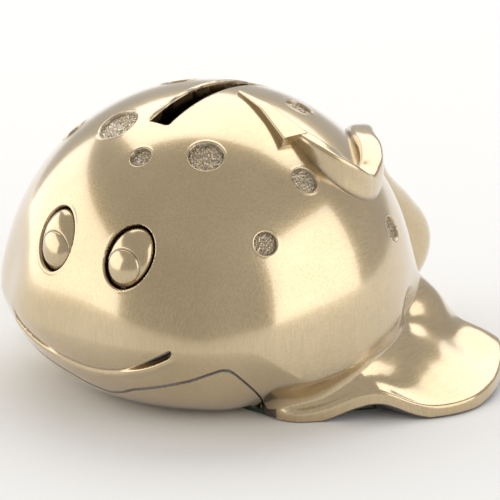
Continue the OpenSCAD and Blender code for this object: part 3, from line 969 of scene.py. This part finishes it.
def antique_brass(name, grain_turn):
    """Plated brass under clear lacquer, brushed in fine broken strokes, darkened by patina and painted
    shade as its darkening attribute gives, and stippled with dark dents where the punched attribute
    says."""
    mat, nodes, links, bsdf = new_material(name)
    broad = noise(nodes, links, 38)
    base = ramp(nodes, links, broad, (0.35, BRASS_DEEP), (0.62, BRASS_LIGHT))
    strokes = noise(nodes, links, 1, 3, 0.6, (4200, 4200, 210), grain_turn)
    cross = noise(nodes, links, 1, 2, 0.5, (260, 3000, 3000), grain_turn)
    grain = math_node(nodes, links, "ADD", scaled(nodes, links, strokes, 0.65),
                      scaled(nodes, links, cross, 0.35))
    shade = ramp(nodes, links, grain, (0.35, BRASS_STROKE), (0.6, WHITE))
    base = mix_color(nodes, links, 1.0, base, shade, "MULTIPLY")

    # Patina and painted shade, read from the meshes
    patina_and_shade = attribute(nodes, "patina_and_shade")
    speck = scaled(nodes, links, noise(nodes, links, 2600, 2), 0.5, -0.25)
    uneven = math_node(nodes, links, "ADD", patina_and_shade, speck)
    dark = math_node(nodes, links, "MULTIPLY", uneven, patina_and_shade, True)
    dark = math_node(nodes, links, "POWER", dark, 0.8, True)
    dents = ramp(nodes, links, noise(nodes, links, 2300, 1), (0.46, WHITE), (0.58, BLACK))
    dents = math_node(nodes, links, "MULTIPLY", dents, attribute(nodes, "punched"), True)
    dark = math_node(nodes, links, "MAXIMUM", dark, scaled(nodes, links, dents, 0.72), True)
    links.new(mix_color(nodes, links, dark, base, PATINA_AND_SHADE), bsdf.inputs["Base Color"])

    rough = scaled(nodes, links, grain, 0.14, 0.14)
    rough = math_node(nodes, links, "ADD", rough, scaled(nodes, links, dark, 0.35))
    links.new(rough, bsdf.inputs["Roughness"])
    bsdf.inputs["Metallic"].default_value = 1.0
    bsdf.inputs["Coat Weight"].default_value = 1.0
    bsdf.inputs["Coat Roughness"].default_value = 0.1
    bsdf.inputs["Coat IOR"].default_value = 2.1
    brushed = bumped(nodes, links, grain, 0.18, 0.00004)
    punched = bumped(nodes, links, dents, 0.7, 0.00012, brushed, True)
    links.new(punched, bsdf.inputs["Normal"])
    return mat


def rubber_material():
    mat, nodes, links, bsdf = new_material("moulded_rubber")
    n = noise(nodes, links, 900, 4)
    links.new(ramp(nodes, links, n, (0.3, (0.012, 0.012, 0.013)), (0.7, (0.03, 0.03, 0.031))),
              bsdf.inputs["Base Color"])
    links.new(scaled(nodes, links, n, 0.25, 0.5), bsdf.inputs["Roughness"])
    links.new(bumped(nodes, links, n, 0.25, 0.00005), bsdf.inputs["Normal"])
    return mat


def felt_material():
    mat, nodes, links, bsdf = new_material("pressed_felt")
    fibre = noise(nodes, links, 2400, 6, 0.7)
    patch = noise(nodes, links, 120, 2)
    both = math_node(nodes, links, "ADD", scaled(nodes, links, fibre, 0.7),
                     scaled(nodes, links, patch, 0.3))
    links.new(ramp(nodes, links, both, (0.35, (0.012, 0.03, 0.02)), (0.65, (0.04, 0.085, 0.055))),
              bsdf.inputs["Base Color"])
    bsdf.inputs["Roughness"].default_value = 0.95
    bsdf.inputs["Sheen Weight"].default_value = 0.4
    links.new(bumped(nodes, links, fibre, 0.8, 0.0002), bsdf.inputs["Normal"])
    return mat


def steel_material():
    mat, nodes, links, bsdf = new_material("zinc_plated_steel")
    n = noise(nodes, links, 1500, 4)
    links.new(ramp(nodes, links, n, (0.3, (0.5, 0.5, 0.48)), (0.7, (0.68, 0.68, 0.66))),
              bsdf.inputs["Base Color"])
    links.new(scaled(nodes, links, n, 0.2, 0.25), bsdf.inputs["Roughness"])
    bsdf.inputs["Metallic"].default_value = 1.0
    return mat


def paint(ob, mat):
    ob.data.materials.clear()
    ob.data.materials.append(mat)


def repaint_node(name, mat):
    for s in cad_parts[name].material_slots:
        s.material = mat


# ---------------------------------------------------------------- pieces

brass_body = antique_brass("antique_brass_body", (0.2, 0.15, 0.3))
brass_belly = antique_brass("antique_brass_belly", (0.1, 1.4, 0.2))
brass_tail = antique_brass("antique_brass_tail", (0.5, 0.6, 0.9))
brass_eye = antique_brass("antique_brass_eye", (0.9, 0.2, 0.4))
rubber = rubber_material()
felt = felt_material()
steel = steel_material()

pieces = [(make_body(), "root", "body_shell", "body_casting", brass_body),
          (make_belly(), "root", "belly_shell", "belly_casting", brass_belly),
          (make_tail(), "root", "tail", "tail_casting", brass_tail),
          (make_eye("left_eye_insert", *EYES[0]), "root", "eye_left", "eye_insert", brass_eye),
          (make_eye("right_eye_insert", *EYES[1]), "root", "eye_right", "eye_insert", brass_eye),
          (make_stopper(), "stopper", "coin_stopper", "stopper_rubber", rubber)]
for piece, body, node, slot, mat in pieces:
    paint(piece, mat)
    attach(piece, body)
    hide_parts(node)

repaint_node("base_felt", felt)
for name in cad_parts:
    if "screw" in name:
        repaint_node(name, steel)


# ---------------------------------------------------------------- studio

VIEW_AZ = math.radians(39.3)
VIEW_EL = math.radians(18.6)
TOWARD = np.array([math.cos(VIEW_EL) * math.cos(VIEW_AZ), math.cos(VIEW_EL) * math.sin(VIEW_AZ),
                   math.sin(VIEW_EL)])
RIGHT = np.array([-math.sin(VIEW_AZ), math.cos(VIEW_AZ), 0.0])
UP = np.cross(TOWARD, RIGHT)
# Metres
LIGHT_AIM = Vector((0, 0, 0.025))
CAMERA_AIM = Vector(np.array([-7.5, 5.3, 27.9]) * MM)
DISTANCE = 2.2
VIEW_WIDTH = 0.1087


def from_camera(right, up, toward):
    """A direction in the view's own axes."""
    return Vector(right * RIGHT + up * UP + toward * TOWARD)


def floor():
    """A pale sweep: flat under the object, curving up far behind it."""
    front, flat, bend, top, half = -3.0, 1.0, 1.6, 4.0, 4.0
    rows = [(front, 0.0), (flat, 0.0)]
    rows += [(flat + bend * math.sin(w), bend - bend * math.cos(w))
             for w in np.radians(np.arange(10, 91, 10))]
    rows.append((flat + bend, top))
    look = np.array([-math.cos(VIEW_AZ), -math.sin(VIEW_AZ), 0.0])
    xyz = [look * d + RIGHT * s + np.array([0, 0, z]) for d, z in rows for s in (half, -half)]
    faces = [[2 * i, 2 * i + 1, 2 * i + 3, 2 * i + 2] for i in range(len(rows) - 1)]
    ob = new_object("floor", np.array(xyz) / MM, faces)
    mat, nodes, links, bsdf = new_material("pale_floor")
    bsdf.inputs["Base Color"].default_value = (0.92, 0.92, 0.92, 1)
    bsdf.inputs["Roughness"].default_value = 0.9
    paint(ob, mat)


def place(data, name, at, look):
    """Puts a light or camera at a point, facing along look."""
    ob = bpy.data.objects.new(name, data)
    ob.location = at
    ob.rotation_mode = "QUATERNION"
    ob.rotation_quaternion = look.to_track_quat("-Z", "Y")
    bpy.context.scene.collection.objects.link(ob)
    return ob


def softbox(name, toward, distance, width, height, power):
    data = bpy.data.lights.new(name, "AREA")
    data.shape = "RECTANGLE"
    data.size, data.size_y = width, height
    data.energy = power
    toward = toward.normalized()
    place(data, name, LIGHT_AIM + toward * distance, -toward)


def camera():
    data = bpy.data.cameras.new("camera")
    data.sensor_width = 36
    data.lens = data.sensor_width * DISTANCE / VIEW_WIDTH
    data.clip_start = 0.01
    data.clip_end = 20
    toward = Vector(TOWARD)
    bpy.context.scene.camera = place(data, "camera", CAMERA_AIM + toward * DISTANCE, -toward)


floor()
softbox("left_softbox", from_camera(-0.93, 0.22, -0.1), 0.9, 1.8, 0.8, 6.6)
softbox("right_softbox", from_camera(0.88, 0.1, 0.46), 0.9, 0.95, 0.8, 3.4)
softbox("top_softbox", from_camera(0.1, 0.93, -0.35), 1.3, 1.8, 1.1, 9.5)
camera()

world = bpy.data.worlds.new("studio")
world.use_nodes = True
world.node_tree.nodes["Background"].inputs[0].default_value = (1.0, 0.97, 0.92, 1)
world.node_tree.nodes["Background"].inputs[1].default_value = 0.55
bpy.context.scene.world = world
bpy.context.scene.view_settings.view_transform = "Standard"
